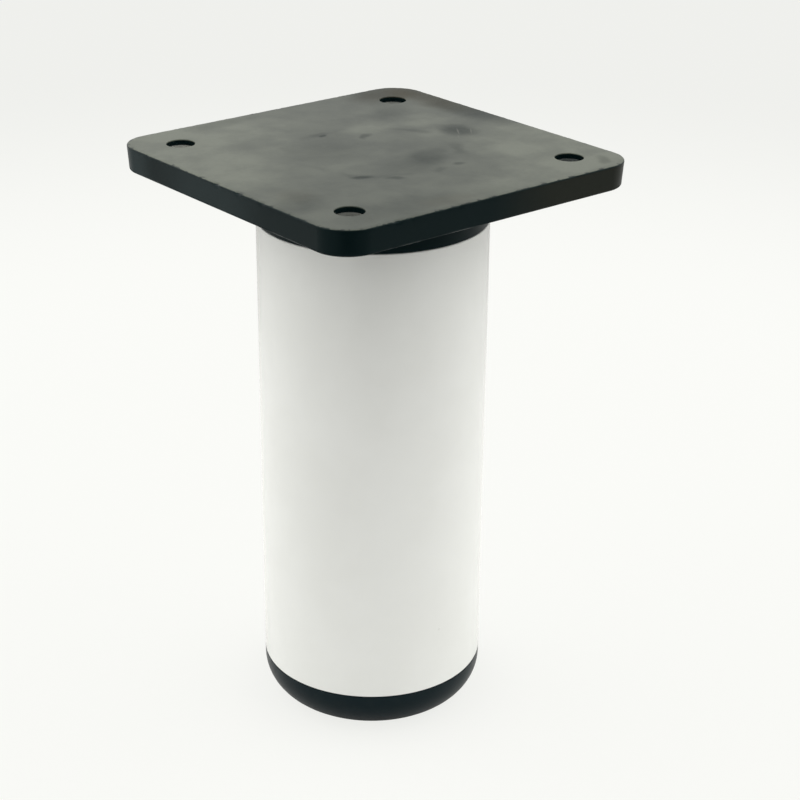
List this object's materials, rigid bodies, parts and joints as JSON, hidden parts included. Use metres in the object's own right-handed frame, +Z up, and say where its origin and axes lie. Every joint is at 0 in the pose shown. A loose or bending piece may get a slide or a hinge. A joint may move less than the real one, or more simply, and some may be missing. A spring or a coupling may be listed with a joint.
{
  "type": "plastic furniture leg",
  "caption": "Short round furniture leg with a square screw-on mounting plate, a plain white tube and a plug-in foot.",
  "frame": {"origin": "centre of the foot's underside, on the floor", "axes": "+Z up, from the foot to the mounting plate; X and Y along the sides of the square plate"},
  "size_m": [0.08, 0.08, 0.1315],
  "materials": {
    "plate_black": "moulded black plastic, satin, with a dull grey film and faint flow marks on top",
    "tube_white": "glossy white with a faint orange peel",
    "foot_black": "moulded black plastic, satin"
  },
  "bodies": {
    "root": {"mounting_plate": "plate_black", "tube": "tube_white", "foot": "foot_black"}
  },
  "joints": []
}
